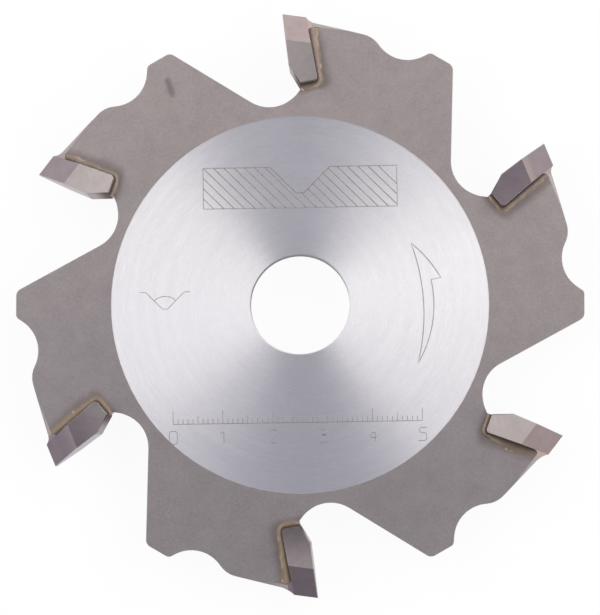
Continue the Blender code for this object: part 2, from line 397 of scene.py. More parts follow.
class Graph:
    """Node tree of a material, the world or a Geometry Nodes modifier."""

    MIX_FACTOR, MIX_FIRST, MIX_SECOND, MIX_RESULT = 0, 6, 7, 2

    def __init__(self, tree):
        self.tree = tree
        tree.nodes.clear()

    def node(self, kind, settings=None, sockets=None, output=0):
        """Adds a node: its settings first, then the values or links of its sockets."""
        node = self.tree.nodes.new(kind)
        for name, setting in (settings or {}).items():
            if name == "stops":
                self.set_stops(node.color_ramp, setting)
            else:
                setattr(node, name, setting)
        for name, value in (sockets or {}).items():
            if isinstance(value, Field):
                self.tree.links.new(value.socket, node.inputs[name])
            else:
                node.inputs[name].default_value = value
        return Field(self, node.outputs[output] if len(node.outputs) else None)

    @staticmethod
    def set_stops(ramp, stops):
        """Sets a ramp's stops, each a place and a colour."""
        while len(ramp.elements) < len(stops):
            ramp.elements.new(1.0)
        for element, (place, color) in zip(ramp.elements, stops):
            element.position = place
            element.color = (*color, 1.0)

    def maths(self, operation, *values):
        return self.node("ShaderNodeMath", {"operation": operation}, dict(enumerate(values)))

    def vector(self, x, y, z):
        return self.node("ShaderNodeCombineXYZ", {}, {"X": x, "Y": y, "Z": z})

    def split(self, vector):
        parts = self.node("ShaderNodeSeparateXYZ", {}, {"Vector": vector})
        return parts, parts.other("Y"), parts.other("Z")

    def mix(self, factor, first, second, blend="MIX"):
        """Colour between two colours, each a Field or a tuple."""
        colors = [value if isinstance(value, Field) else (*value, 1.0) for value in (first, second)]
        sockets = {self.MIX_FACTOR: factor, self.MIX_FIRST: colors[0], self.MIX_SECOND: colors[1]}
        settings = {"data_type": "RGBA", "blend_type": blend}
        return self.node("ShaderNodeMix", settings, sockets, self.MIX_RESULT)

    def noise(self, place, scale=1.0, detail=2.0, roughness=0.5):
        sockets = {"Vector": place, "Scale": scale, "Detail": detail, "Roughness": roughness}
        return self.node("ShaderNodeTexNoise", {}, sockets)

    def place(self):
        """Object coordinates, in metres."""
        return self.node("ShaderNodeTexCoord").other("Object")

    def ramp(self, value, stops):
        return self.node("ShaderNodeValToRGB", {"stops": stops}, {"Fac": value})

    def span(self, value, colors, low=0.3, high=0.7):
        """Colour between two colours, which a value reaches at low and at high."""
        return self.ramp(value, ((low, colors[0]), (high, colors[1])))

    def pick(self, number, choices):
        """Colour of a tooth, from a list with one for each tooth."""
        stops = [((i + 0.5) / TEETH, choice) for i, choice in enumerate(choices)]
        return self.ramp((number + 0.5) / TEETH, stops)

    def split_color(self, color):
        parts = self.node("ShaderNodeSeparateColor", {}, {"Color": color})
        return parts, parts.other("Green"), parts.other("Blue")

    def scale(self, color, factor):
        """Colour made darker or lighter by a number."""
        sockets = {0: color, "Scale": factor}
        return self.node("ShaderNodeVectorMath", {"operation": "SCALE"}, sockets)

    def attribute(self, name, output="Fac"):
        found = self.node("ShaderNodeAttribute", {"attribute_name": name})
        return found.other(output)

    def metal(self, color, roughness, height, depth, constants=None):
        """Metallic Principled shader whose bump is a height field of a depth in metres."""
        bump = {"Height": height, "Strength": 1.0, "Distance": depth}
        sockets = {
            "Base Color": color,
            "Roughness": roughness,
            "Metallic": 1.0,
            "Normal": self.node("ShaderNodeBump", {}, bump),
        }
        sockets.update(constants or {})
        return self.node("ShaderNodeBsdfPrincipled", {}, sockets)


def new_material(name, finish):
    """Material whose surface is what a finish function returns for its node tree."""
    material = bpy.data.materials.new(name)
    material.use_nodes = True
    graph = Graph(material.node_tree)
    graph.node("ShaderNodeOutputMaterial", {}, {"Surface": finish(graph)})
    return material


def new_tree(name, inputs):
    """Geometry Nodes tree with named inputs: its graph, and the field of its first input."""
    tree = bpy.data.node_groups.new(name, "GeometryNodeTree")
    graph = Graph(tree)
    tree.interface.new_socket("Geometry", in_out="OUTPUT", socket_type="NodeSocketGeometry")
    for label, kind in inputs.items():
        tree.interface.new_socket(label, in_out="INPUT", socket_type="NodeSocket" + kind)
    return graph, graph.node("NodeGroupInput")


def close_tree(graph, geometry, entry):
    """Ends a Geometry Nodes tree with real geometry in its material."""
    real = graph.node("GeometryNodeRealizeInstances", {}, {"Geometry": geometry})
    sockets = {"Geometry": real, "Material": entry.other("Material")}
    painted = graph.node("GeometryNodeSetMaterial", {}, sockets)
    graph.node("NodeGroupOutput", {}, {"Geometry": painted})
    return graph.tree


def store(graph, geometry, name, value, kind="FLOAT", domain="POINT"):
    """Keeps a field on a geometry as a named attribute."""
    settings = {"data_type": kind, "domain": domain}
    sockets = {"Geometry": geometry, "Name": name, "Value": value}
    return graph.node("GeometryNodeStoreNamedAttribute", settings, sockets)


def stored(graph, name, kind="FLOAT"):
    """Field of a named attribute."""
    return graph.node("GeometryNodeInputNamedAttribute", {"data_type": kind}, {"Name": name})


# Building tools
def new_object(name, data):
    """Object of some data, linked to the scene."""
    piece = bpy.data.objects.new(name, data)
    bpy.context.scene.collection.objects.link(piece)
    return piece


def settled(carrier):
    """Plain mesh object of an object with its modifiers applied. The first one is removed."""
    bpy.context.view_layer.update()
    graph = bpy.context.evaluated_depsgraph_get()
    shape = carrier.evaluated_get(graph)
    mesh = bpy.data.meshes.new_from_object(shape, preserve_all_data_layers=True, depsgraph=graph)
    name = carrier.name
    bpy.data.objects.remove(carrier)
    mesh.name = name
    return new_object(name, mesh)


def run_tree(carrier, tree, values):
    """Adds a Geometry Nodes modifier, with its inputs set by their identifiers."""
    modifier = carrier.modifiers.new(tree.name, "NODES")
    modifier.node_group = tree
    for item in tree.interface.items_tree:
        if item.in_out == "INPUT" and item.name in values:
            modifier[item.identifier] = values[item.name]


def merged_copy(node):
    """Work mesh of a solid, with its loose triangles merged into whole faces."""
    work = bmesh.new()
    work.from_mesh(frame["nodes"][node].data)
    bmesh.ops.remove_doubles(work, verts=work.verts, dist=WELD_DISTANCE)
    bmesh.ops.dissolve_limit(
        work, angle_limit=FLAT_ANGLE, verts=work.verts, edges=work.edges, delimit=set()
    )
    return work


def mark_edges(work, choose):
    """Gives each edge the bevel weight that a function of the edge returns."""
    weights = work.edges.layers.float.new("bevel_weight_edge")
    for edge in work.edges:
        edge[weights] = choose(edge)


def free_mesh(work, name):
    """Mesh made from a work mesh, which is freed."""
    mesh = bpy.data.meshes.new(name)
    work.to_mesh(mesh)
    work.free()
    return mesh


def turn_out(mesh):
    """Makes the faces of a closed mesh point outwards."""
    work = bmesh.new()
    work.from_mesh(mesh)
    bmesh.ops.recalc_face_normals(work, faces=work.faces)
    if work.calc_volume(signed=True) < 0.0:
        bmesh.ops.reverse_faces(work, faces=work.faces)
    work.to_mesh(mesh)
    work.free()


def add_bevel(carrier, width, segments):
    """Rounds the edges that have a bevel weight."""
    bevel = carrier.modifiers.new("break edges", "BEVEL")
    bevel.limit_method = "WEIGHT"
    bevel.width = width
    bevel.segments = segments


def boolean(carrier, operation, other):
    """Joins a closed mesh object to another one, or cuts it out."""
    modifier = carrier.modifiers.new(operation.lower(), "BOOLEAN")
    modifier.operation = operation
    modifier.solver = "EXACT"
    modifier.object = other


def shade(piece):
    """Smooth shading, with crisp edges at corners and round flat faces."""
    work = bmesh.new()
    work.from_mesh(piece.data)
    for face in work.faces:
        face.smooth = True
    for edge in work.edges:
        flat = any(abs(face.normal.z) > math.cos(FLAT_ANGLE) for face in edge.link_faces)
        edge.smooth = not flat and edge.calc_face_angle(math.pi) < SMOOTH_ANGLE
    work.to_mesh(piece.data)
    work.free()


def rounded(corners, radius, closed=False):
    """Points of a path through corners, with arcs as large as its legs can hold."""
    count = len(corners)
    path = []
    for i, corner in enumerate(corners):
        before = corner - corners[i - 1]
        after = corners[(i + 1) % count] - corner
        turn = math.atan2(before.cross(after), before.dot(after))
        if not closed and i in (0, count - 1) or abs(turn) < ARC_STEP:
            path.append(corner)
            continue
        cut = min(radius * abs(math.tan(turn / 2)), before.length / 2, after.length / 2)
        start = corner - cut * before.normalized()
        side = Vector((-before.y, before.x)).normalized()
        centre = start + cut / math.tan(turn / 2) * side
        steps = math.ceil(abs(turn) / ARC_STEP)
        for step in range(steps + 1):
            path.append(centre + Matrix.Rotation(turn * step / steps, 2) @ (start - centre))
    return path


def arc_through(start, middle, end):
    """Points of the circle's arc that passes through three points."""
    first = (middle - start) / 2
    second = (end - middle) / 2
    across = Vector((-first.y, first.x))
    gap = (middle + second) - (start + first)
    centre = start + first + across * (gap.dot(second) / across.dot(second))
    spoke = start - centre
    turn = math.atan2(spoke.cross(end - centre), spoke.dot(end - centre))
    steps = max(2, math.ceil(abs(turn) / FINE_ARC_STEP))
    turns = [turn * step / steps for step in range(steps + 1)]
    return [centre + Matrix.Rotation(angle, 2) @ spoke for angle in turns]


def curve_data(name, paths, height=0.0):
    """Curve of straight-sided splines, each a path of points and whether it is closed."""
    curve = bpy.data.curves.new(name, "CURVE")
    curve.dimensions = "3D"
    for points, closed in paths:
        spline = curve.splines.new("POLY")
        spline.points.add(len(points) - 1)
        for control, point in zip(spline.points, points):
            control.co = (point.x, point.y, height, 1.0)
        spline.use_cyclic_u = closed
    return curve


# Finishes
def seat_distance(graph, x, y):
    """Distance from the back and the foot of the nearest tip."""
    radius = (x * x + y * y) ** 0.5
    angle = graph.maths("ARCTAN2", x, y)
    nearest = graph.maths("ROUND", angle / PITCH)
    local = angle - nearest * PITCH
    across = radius * graph.maths("SINE", local)
    outwards = radius * graph.maths("COSINE", local)
    behind = across * BACK.x + outwards * BACK.y - TIP_BACK
    below = (TIP_FOOT - across * UP.x - outwards * UP.y) * FOOT_FADE
    ahead = FOOT_FRONT - across * BACK.x - outwards * BACK.y
    return ((behind.most(0.0) ** 2.0 + below.most(0.0) ** 2.0) ** 0.5).most(ahead)


def line_distance(x, y, start, end):
    """Distance from a straight line between two points."""
    run = Vector(end) - Vector(start)
    share = ((x - start[0]) * run.x + (y - start[1]) * run.y) / run.length_squared
    share = share.most(0.0).least(1.0)
    aside = x - start[0] - share * run.x
    over = y - start[1] - share * run.y
    return (aside * aside + over * over) ** 0.5


def uneven(graph, color, x, y, shaded_tone):
    """Colour with painted shade, darker towards one side of the blade as if lit from the other."""
    lit = (x * LIT_SIDE.x + y * LIT_SIDE.y).rise(-LAND_RADIUS, LAND_RADIUS)
    return graph.mix(1.0, color, graph.mix(lit, shaded_tone, (1.0, 1.0, 1.0)), "MULTIPLY")


def ring_noise(graph, ring, scales, detail=2.0):
    """Noise in rings round the bore, with a scale across them and one along them."""
    radius, cosine, sine = ring
    across, along = scales
    place = graph.vector(radius * across, cosine * along, sine * along)
    return graph.noise(place, detail=detail)


def ground_steel(graph):
    """Land turned bright on a face grinder, with fine short rings round the bore."""
    x, y, _ = graph.split(graph.place())
    radius = (x * x + y * y) ** 0.5
    ring = (radius, x / radius, y / radius)
    fine = ring_noise(graph, ring, FINE_RINGS, 3.0)
    short = ring_noise(graph, ring, SHORT_RINGS)
    bands = ring_noise(graph, ring, RING_BANDS)
    arcs = ring_noise(graph, ring, RING_ARCS)
    tone = fine * 0.45 + short * 0.25 + bands * 0.2 + arcs.rise(0.55, 0.8) * 0.12
    # Painted shade: the land is darker towards one side
    color = uneven(graph, graph.span(tone, LAND_COLORS, 0.25), x, y, LAND_SHADE)
    brushed = {"Anisotropic": 0.93, "Anisotropic Rotation": 0.25}
    return graph.metal(color, 0.44 + fine * 0.1, fine + short, LAND_BUMP, brushed)


def blasted_steel(graph):
    """Plate blasted grey, darker brown round the seats, with one dark smear."""
    place = graph.place()
    x, y, _ = graph.split(place)
    grain = graph.noise(place, PLATE_GRAIN, 3.0, 0.6)
    mottle = graph.noise(place, PLATE_MOTTLE, 3.0, 0.6)
    clouds = graph.noise(place, PLATE_CLOUDS)
    tone = grain * 0.6 + mottle * 0.25 + clouds * 0.15
    # Painted shade: the plate is darker towards one side
    color = uneven(graph, graph.span(tone, PLATE_COLORS, 0.33, 0.67), x, y, PLATE_SHADE)
    gap = seat_distance(graph, x, y) + (mottle - 0.5) * TINT_RAGGEDNESS
    tint = 1.0 - gap.rise(TINT_START, TINT_END)
    color = graph.mix(tint * TINT_STRENGTH, color, TINT_COLOR)
    gap = line_distance(x, y, SMEAR_START, SMEAR_END) + (mottle - 0.5) * SMEAR_RAGGEDNESS
    smear = 1.0 - gap.rise(0.0, SMEAR_WIDTH)
    color = graph.mix(smear * SMEAR_STRENGTH, color, SMEAR_COLOR)
    return graph.metal(color, 0.36 + grain * 0.1, grain, PLATE_BUMP)


def grained_metal(graph, colors, facts):
    """Metal with one fine grain between two colours."""
    roughness, depth, *noise = facts
    grain = graph.noise(graph.place(), *noise)
    return graph.metal(graph.span(grain, colors), roughness + grain * 0.1, grain, depth)


def bore_steel(graph):
    """Wall of the bore, painted dark as shade."""
    return grained_metal(graph, BORE_SHADE_COLORS, BORE_GRAIN)


def slope_steel(graph):
    """Slope ground behind a tip, lighter than the blasted plate."""
    return grained_metal(graph, SLOPE_COLORS, SLOPE_GRAIN)


def flush_braze(bevel):
    """Finish of the braze that is ground flush with a tip's bevel, in the bevel's colour with its
    painted light.
    """
    light = tuple(a * b for a, b in zip(bevel, FLUSH_WARMTH))
    return lambda graph: grained_metal(graph, (bevel, light), FLUSH_GRAIN)


def etched_line(colors):
    """Finish of a line burnt into the ground land."""
    return lambda graph: grained_metal(graph, colors, LINE_GRAIN)


def on_side(x, y, start, end):
    """Share of a tip's surface that lies on the straight side between two corners."""
    run = (end - start).normalized()
    aside = (x - start.x) * run.y - (y - start.y) * run.x
    return 1.0 - abs(aside).rise(TIP_BREAK, TIP_BREAK * 4.0)


def side_color(graph, tone, painted_light, depth):
    """Side of a tip, with painted light and shade from its level at the bevel to its level at the
    foot.
    """
    at_bevel, at_foot, band_highlight = painted_light
    lower = depth.rise(BEVEL_DROP, TOP_LEVEL - FOOT_CORNER.dot(OUT))
    # share is the painted light on the side, from the bevel down to the foot
    share = at_bevel + (at_foot - at_bevel) * lower
    cast = graph.mix(share.rise(0.6, 0.8), SHADED_SIDE_CAST, LIT_SIDE_CAST)
    cast = graph.mix(band_highlight * (1.0 - share.rise(0.7, 1.0)), cast, HIGHLIGHTED_TIP_CAST)
    return graph.scale(graph.mix(1.0, graph.span(tone, SIDE_COLORS), cast, "MULTIPLY"), share)


def bevel_color(graph, blotches, number, band_highlight, depth):
    """Bevel of a tip in its colour with painted light, with a painted highlight band along its
    lower edge on some tips.
    """
    color = graph.scale(graph.pick(number, BEVEL_LIT_COLORS), 0.76 + blotches * 0.35)
    highlight_band = depth.rise(BEVEL_DROP - HIGHLIGHT_BAND_WIDTH * 2.0, BEVEL_DROP - HIGHLIGHT_BAND_WIDTH * 0.4)
    return graph.mix(band_highlight * highlight_band, color, BAND_HIGHLIGHT, "MULTIPLY")


def carbide(graph):
    """Carbide ground with a wheel that crosses the tip's sides at 45 degrees."""
    x, y, z = graph.split(graph.attribute("drawing", "Vector"))
    number = graph.attribute("tooth")
    across = (x - y) * math.sqrt(0.5)
    along = (x + y) * math.sqrt(0.5)
    fine, long, through = SCRATCHES
    lines = graph.vector(across * fine, along * long, z * through + number * 5.0)
    scratches = graph.noise(lines, detail=3.0)
    blotches = graph.noise(graph.vector(x, y, z + number), TIP_BLOTCHES, 3.0, 0.6)
    tone = scratches * 0.5 + blotches * 0.5
    depth = TOP_LEVEL - x * OUT.x - y * OUT.y
    # Painted light and shade on each tip's sides and bevels, and a painted highlight band on some
    painted_light = graph.split_color(graph.pick(number, SIDE_PAINTED_LIGHT))
    side = side_color(graph, tone, painted_light, depth)
    bevel = bevel_color(graph, blotches, number, painted_light[2], depth)
    color = graph.mix(1.0 - depth.rise(BEVEL_DROP - TIP_BREAK, BEVEL_DROP), side, bevel)
    color = graph.mix(on_side(x, y, CUTTING_EDGE, RAKE_END), color, RAKE_COLOR)
    relief = on_side(x, y, RAKE_END, FOOT_CORNER)
    to_foot = ((RAKE_END.y - y) / (RAKE_END.y - FOOT_CORNER.y)).rise(0.2, 0.9)
    color = graph.mix(relief, color, graph.mix(to_foot, *RELIEF_COLORS))
    rough = 0.38 + tone * 0.1 + relief * 0.4
    ground = {"Anisotropic": 0.92, "Anisotropic Rotation": 0.375}
    return graph.metal(color, rough, scratches, TIP_BUMP, ground)


def braze_alloy(graph):
    """Braze, grey-brown on its slope, with painted shade in the crease at the tip, painted
    highlights in light patches near the toe and gold flecks that are partly painted glints.
    """
    place = graph.place()
    x, y, _ = graph.split(place)
    spread = graph.attribute("spread")
    blotches = graph.noise(place, BRAZE_BLOTCHES, 3.0, 0.6)
    grain = graph.noise(place, BRAZE_GRAIN, 2.0, 0.6)
    # The ramp's dark start is painted shade in the crease by the tip
    shifted = spread + (blotches - 0.5) * 0.3
    color = graph.ramp(shifted / (1.0 + JOINT_SPREAD), BRAZE_AND_CREASE_SHADE_STOPS)
    # Painted highlight in light patches near the toe
    near_toe = spread.rise(0.55, 0.8) * (1.0 - spread.rise(0.85, 1.0))
    toe_highlights = near_toe * graph.noise(place, TOE_HIGHLIGHT_CELLS).rise(0.5, 0.62)
    color = graph.mix(toe_highlights, color, TOE_HIGHLIGHT_COLOR)
    # Gold flecks, partly painted glints, with more of them at the front
    front = 1.0 - graph.attribute("run").rise(*GLINTING_FRONT)
    fleck_glints = graph.noise(place, FLECK_GLINT_CELLS) + front * spread.rise(0.3, 0.6) * 0.12
    fleck_glints = fleck_glints.rise(0.64, 0.72) * spread.rise(0.35, 0.7)
    # Painted shade: the braze is darker towards one side
    color = uneven(graph, graph.mix(fleck_glints, color, FLECK_GLINT_COLOR), x, y, BRAZE_SHADE)
    height = blotches * 0.6 + grain * 0.4
    return graph.metal(color, 0.50 + grain * 0.16, height, BRAZE_BUMP)


# Plate, with its material slots
BLASTED, GROUND, SLOPE, BORE = range(4)


def slope_cutter(name):
    """Two wedges, one for each side, whose inner faces carry on a tip's bevels."""
    outer = HALF_WIDTH + SLOPE_MARGIN
    section = [
        (HALF_EDGE - SLOPE_MARGIN / BEVEL_SLOPE, SLOPE_MARGIN),
        (outer, -(outer - HALF_EDGE) * BEVEL_SLOPE),
        (outer, SLOPE_MARGIN),
    ]
    points = []
    faces = []
    for side in (1.0, -1.0):
        first = len(points)
        for distance in (SLOPE_START, SLOPE_END):
            for height, level in section:
                place = CUTTING_EDGE + OUT * level + ALONG_TOP * distance
                points.append((place.x, place.y, side * height))
        near = [first + i for i in range(3)]
        far = [first + 3 + i for i in range(3)]
        faces += [near, far]
        faces += [(near[i], near[i - 1], far[i - 1], far[i]) for i in range(3)]
    mesh = bpy.data.meshes.new(name)
    mesh.from_pydata(points, [], faces)
    turn_out(mesh)
    return mesh


def on_slope(normal):
    """Whether a face of the drawing lies on one of the ground slopes."""
    slope = Vector((OUT.x, OUT.y, BEVEL_SLOPE)).normalized()
    upright = Vector((normal.x, normal.y, abs(normal.z)))
    return upright.dot(slope) > math.cos(FLAT_ANGLE)


def paint_slopes(piece, slot, angles):
    """Gives the faces on ground slopes another material slot."""
    turns = [Matrix.Rotation(-angle, 3, "Z") for angle in angles]
    for face in piece.data.polygons:
        if any(on_slope(turn @ face.normal) for turn in turns):
            face.material_index = slot


def plate_piece(wedges):
    """Steel plate with broken edges, its ground land and its ground slopes."""
    work = merged_copy("blade_body")

    def outline_weight(edge):
        outer = all(abs(abs(vertex.co.z) - PLATE_FACE) < WELD_DISTANCE for vertex in edge.verts)
        sharp = edge.calc_face_angle(0.0) > SMOOTH_ANGLE
        beyond = min(vertex.co.xy.length for vertex in edge.verts) > LAND_RADIUS + PLATE_BREAK
        return 1.0 if outer and sharp and beyond else 0.0

    mark_edges(work, outline_weight)
    for face in work.faces:
        level = all(abs(abs(vertex.co.z) - LAND_FACE) < WELD_DISTANCE for vertex in face.verts)
        farthest = max(vertex.co.xy.length for vertex in face.verts)
        if farthest < BORE_RADIUS + WELD_DISTANCE:
            face.material_index = BORE
        elif level or farthest < LAND_RADIUS + PLATE_BREAK:
            face.material_index = GROUND
        else:
            face.material_index = BLASTED
    mesh = free_mesh(work, "steel_plate")
    for finish in (blasted_steel, ground_steel, slope_steel, bore_steel):
        mesh.materials.append(new_material(finish.__name__, finish))
    carrier = new_object("steel_plate", mesh)
    add_bevel(carrier, PLATE_BREAK, 3)
    cutters = []
    for tooth in range(TEETH):
        cutter = new_object("slope_cutter", wedges.copy())
        cutter.data.transform(Matrix.Rotation(tooth * PITCH, 4, "Z"))
        boolean(carrier, "DIFFERENCE", cutter)
        cutters.append(cutter)
    plate = settled(carrier)
    for cutter in cutters:
        bpy.data.objects.remove(cutter)
    paint_slopes(plate, SLOPE, [tooth * PITCH for tooth in range(TEETH)])
    shade(plate)
    return plate


# Carbide tips
def ring_tree():
    """Repeats one tooth's piece round the blade, and keeps its place in the drawing."""
    inputs = {"Geometry": "Geometry", "Teeth": "Int", "Material": "Material"}
    graph, entry = new_tree("Tooth Ring", inputs)
    place = graph.node("GeometryNodeInputPosition")
    drawn = store(graph, entry, "drawing", place, "FLOAT_VECTOR")
    points = graph.node("GeometryNodePoints", {}, {"Count": entry.other("Teeth")})
    index = graph.node("GeometryNodeInputIndex")
    turn = graph.vector(0.0, 0.0, index * math.tau / entry.other("Teeth"))
    rotation = graph.node("FunctionNodeEulerToRotation", {}, {"Euler": turn})
    sockets = {"Points": points, "Instance": drawn, "Rotation": rotation}
    ring = graph.node("GeometryNodeInstanceOnPoints", {}, sockets)
    numbered = store(graph, ring, "tooth", index, "FLOAT", "INSTANCE")
    return close_tree(graph, numbered, entry)


def tips_piece(material):
    """Carbide tips with crisp cutting edges."""
    work = merged_copy("carbide_tip_1")
    mark_edges(work, lambda edge: 1.0 if edge.calc_face_angle(0.0) > TIP_CORNER else 0.0)
    carrier = new_object("carbide_tips", free_mesh(work, "carbide_tips"))
    add_bevel(carrier, TIP_BREAK, 2)
    run_tree(carrier, ring_tree(), {"Teeth": TEETH, "Material": material})
    return settled(carrier)


# Braze
def fillet_section():
    """Section across a seam: a hollow fillet on each face of the plate, and the joint."""
    hollow = []
    for step in range(FILLET_STEPS + 1):
        angle = math.radians(90.0 * step / FILLET_STEPS)
        height = PLATE_FACE + FILLET_HEIGHT * (1.0 - math.cos(angle))
        hollow.append((SEAT_GAP * (1.0 - math.sin(angle)), height))
    upper = [*reversed(hollow), (SEAT_GAP, PLATE_FACE - FILLET_SINK)]
    lower = [(across, -height) for across, height in reversed(upper)]
    return [Vector(point) for point in upper + lower]


def braze_tree():
    """Sweeps a fillet's section along a seat, with a spread that varies and a lumpy toe."""
    lengths = ("Foot Length", "Back Length", "Step", "Lump Length", "Lump Depth", "Seed")
    inputs = {"Geometry": "Geometry", "Section": "Object"}
    inputs.update(dict.fromkeys(SPREAD_NAMES + lengths, "Float"))
    inputs["Material"] = "Material"
    graph, entry = new_tree("Braze Fillet", inputs)
    resampled = {"Curve": entry, "Length": entry.other("Step")}
    path = graph.node("GeometryNodeResampleCurve", {"mode": "LENGTH"}, resampled)
    path = graph.node("GeometryNodeSetCurveNormal", {"mode": "Z_UP"}, {"Curve": path})
    path = store(graph, path, "run", graph.node("GeometryNodeSplineParameter").other("Length"))
    tangent = graph.node("GeometryNodeInputTangent")
    path = store(graph, path, "course", tangent, "FLOAT_VECTOR")
    section = graph.node("GeometryNodeObjectInfo", {}, {"Object": entry.other("Section")})
    section = section.other("Geometry")
    across, height, _ = graph.split(graph.node("GeometryNodeInputPosition"))
    on_top = abs(height).rise(PLATE_FACE - FILLET_SINK, PLATE_FACE)
    section = store(graph, section, "across", across)
    section = store(graph, section, "on top", on_top)
    spread = across / SEAT_GAP + (1.0 - on_top) * JOINT_SPREAD
    section = store(graph, section, "spread", spread)
    section = store(graph, section, "height", height)
    sweep = {"Curve": path, "Profile Curve": section, "Fill Caps": True}
    seam = graph.node("GeometryNodeCurveToMesh", {}, sweep)
    run, across, spread = (stored(graph, name) for name in ("run", "across", "spread"))
    corner = entry.other("Foot Length")
    middle = corner + entry.other("Back Length") * 0.5
    end = corner + entry.other("Back Length")
    front_toe, corner_toe, middle_toe, end_toe = (entry.other(name) for name in SPREAD_NAMES)
    toe = front_toe + (corner_toe - front_toe) * run.rise(0.0, corner)
    toe = toe + (middle_toe - corner_toe) * run.rise(corner, middle)
    toe = toe + (end_toe - middle_toe) * run.rise(middle, end)
    place = graph.vector(
        run / entry.other("Lump Length"), stored(graph, "height") * LUMP_RISE, entry.other("Seed")
    )
    lumps = graph.noise(place, detail=3.0, roughness=0.6) - 0.5
    toe = toe + lumps * entry.other("Lump Depth") * 2.0
    toe = toe * (FRONT_SHARE + run.rise(0.0, FRONT_TAPER) * (1.0 - FRONT_SHARE))
    toe = toe * (1.0 - run.rise(end - END_TAPER, end) * (1.0 - END_SHARE))
    shift = (spread * toe - across) * stored(graph, "on top")
    course_x, course_y, _ = graph.split(stored(graph, "course", "FLOAT_VECTOR"))
    offset = graph.vector(course_y * shift, course_x * shift * -1.0, 0.0)
    seam = graph.node("GeometryNodeSetPosition", {}, {"Geometry": seam, "Offset": offset})
    return close_tree(graph, seam, entry)


def heel_fill(fill):
    """Braze in the corner between a tip's back and the plate's top, as a closed mesh object."""
    start = BACK * TIP_BACK + UP * BACK_TOP
    end = SEAT_CORNER + ALONG_PLATE * fill
    chord = end - start
    hollow = Vector((chord.y, -chord.x)).normalized() * HEEL_HOLLOW
    outline = arc_through(start, (start + end) / 2 + hollow, end)
    outline.append(SEAT_CORNER - OUT * HEEL_SINK)
    outline.append(SEAT_CORNER - UP * HEEL_OVERLAP)
    outline.append(BACK * TIP_BACK + UP * (BACK_TOP - HEEL_STEP - HEEL_OVERLAP))
    half = PLATE_FACE - FILLET_SINK
    work = bmesh.new()
    spread = work.verts.layers.float.new("spread")
    run = work.verts.layers.float.new("run")
    face = work.faces.new([work.verts.new((point.x, point.y, -half)) for point in outline])
    grown = bmesh.ops.extrude_face_region(work, geom=[face])["geom"]
    raised = [item for item in grown if isinstance(item, bmesh.types.BMVert)]
    bmesh.ops.translate(work, verts=raised, vec=(0.0, 0.0, 2.0 * half))
    for vertex in work.verts:
        vertex[spread] = HEEL_SPREAD
        vertex[run] = HEEL_RUN
    mesh = free_mesh(work, "heel_fill")
    turn_out(mesh)
    return new_object("heel_fill", mesh)


def braze_piece(tooth, tree, wedges, alloy):
    """Braze round one tip's foot and back, ground flush with the tip's bevels at its end."""
    corner = BACK * TIP_BACK + UP * TIP_FOOT
    end = BACK * TIP_BACK + UP * (BACK_TOP - HEEL_STEP)
    path = rounded([FOOT_CORNER, corner, end], HEEL_RADIUS)
    section = new_object("fillet_section", curve_data("section", [(fillet_section(), True)]))
    name = f"braze_fillet_{tooth + 1}"
    carrier = new_object(name, curve_data(name, [(path, False)]))
    values = {
        "Section": section,
        "Foot Length": (corner - FOOT_CORNER).length,
        "Back Length": (end - corner).length,
        "Step": PATH_STEP,
        "Lump Length": LUMP_LENGTH,
        "Lump Depth": LUMP_DEPTH,
        "Seed": SEED_STEP * tooth,
        "Material": alloy,
    }
    values.update(zip(SPREAD_NAMES, FILLET_SPREADS[tooth]))
    run_tree(carrier, tree, values)
    fillet = settled(carrier)
    bpy.data.objects.remove(section)
    turn_out(fillet.data)
    fill = heel_fill(HEEL_FILLS[tooth])
    cutter = new_object("slope_cutter", wedges.copy())
    boolean(fillet, "UNION", fill)
    boolean(fillet, "DIFFERENCE", cutter)
    fillet = settled(fillet)
    bpy.data.objects.remove(fill)
    bpy.data.objects.remove(cutter)
    flush = new_material(f"slope_braze_{tooth + 1}", flush_braze(BEVEL_LIT_COLORS[tooth]))
    fillet.data.materials.append(flush)
    paint_slopes(fillet, FLUSH_SLOT, [0.0])
    shade(fillet)
    fillet.data.transform(Matrix.Rotation(tooth * PITCH, 4, "Z"))
    return fillet


# Marks on the ground land
def polar(radius, degrees):
    """Point at a distance from the bore's centre, in a direction from +X."""
    return heading(degrees) * radius


def arrow_path():
    """Curved arrow with a one-sided head, which shows the way the blade turns."""
    point, tail = polar(*ARROW_POINT), polar(*ARROW_TAIL)
    inner = arc_through(tail, polar(*ARROW_WAIST), point)
    head = arc_through(point, polar(*ARROW_CHEEK), polar(*ARROW_BARB))
    outer = arc_through(polar(*ARROW_SHOULDER), polar(*ARROW_BELLY), tail)
    return inner + head[1:] + outer[:-1]


def board_paths():
    """Board seen from its end, with a groove like the one that the blade cuts, and hatching."""
    width, height = BOARD_SIZE
    mouth, depth = BOARD_GROOVE
    left, right = -width / 2, width / 2
    floor = height / 2 - depth
    flat = mouth / 2 - depth
    outline = [
        (left, -height / 2),
        (right, -height / 2),
        (right, height / 2),
        (mouth / 2, height / 2),
        (flat, floor),
        (-flat, floor),
        (-mouth / 2, height / 2),
        (left, height / 2),
    ]
    paths = [([Vector(point) for point in outline], True)]
    for i in range(1, int((width + height) / HATCH_STEP)):
        low = Vector((left + i * HATCH_STEP, -height / 2))
        bottom = max(0.0, low.x - right)
        top = min(height, low.x - left)
        to_floor = floor - low.y
        to_flank = (to_floor + low.x - flat) / 2
        if abs(low.x - to_floor) < flat:
            top = to_floor
        if flat <= low.x - to_flank <= mouth / 2:
            top = to_flank
        paths.append(([low + Vector((-bottom, bottom)), low + Vector((-top, top))], False))
    return paths


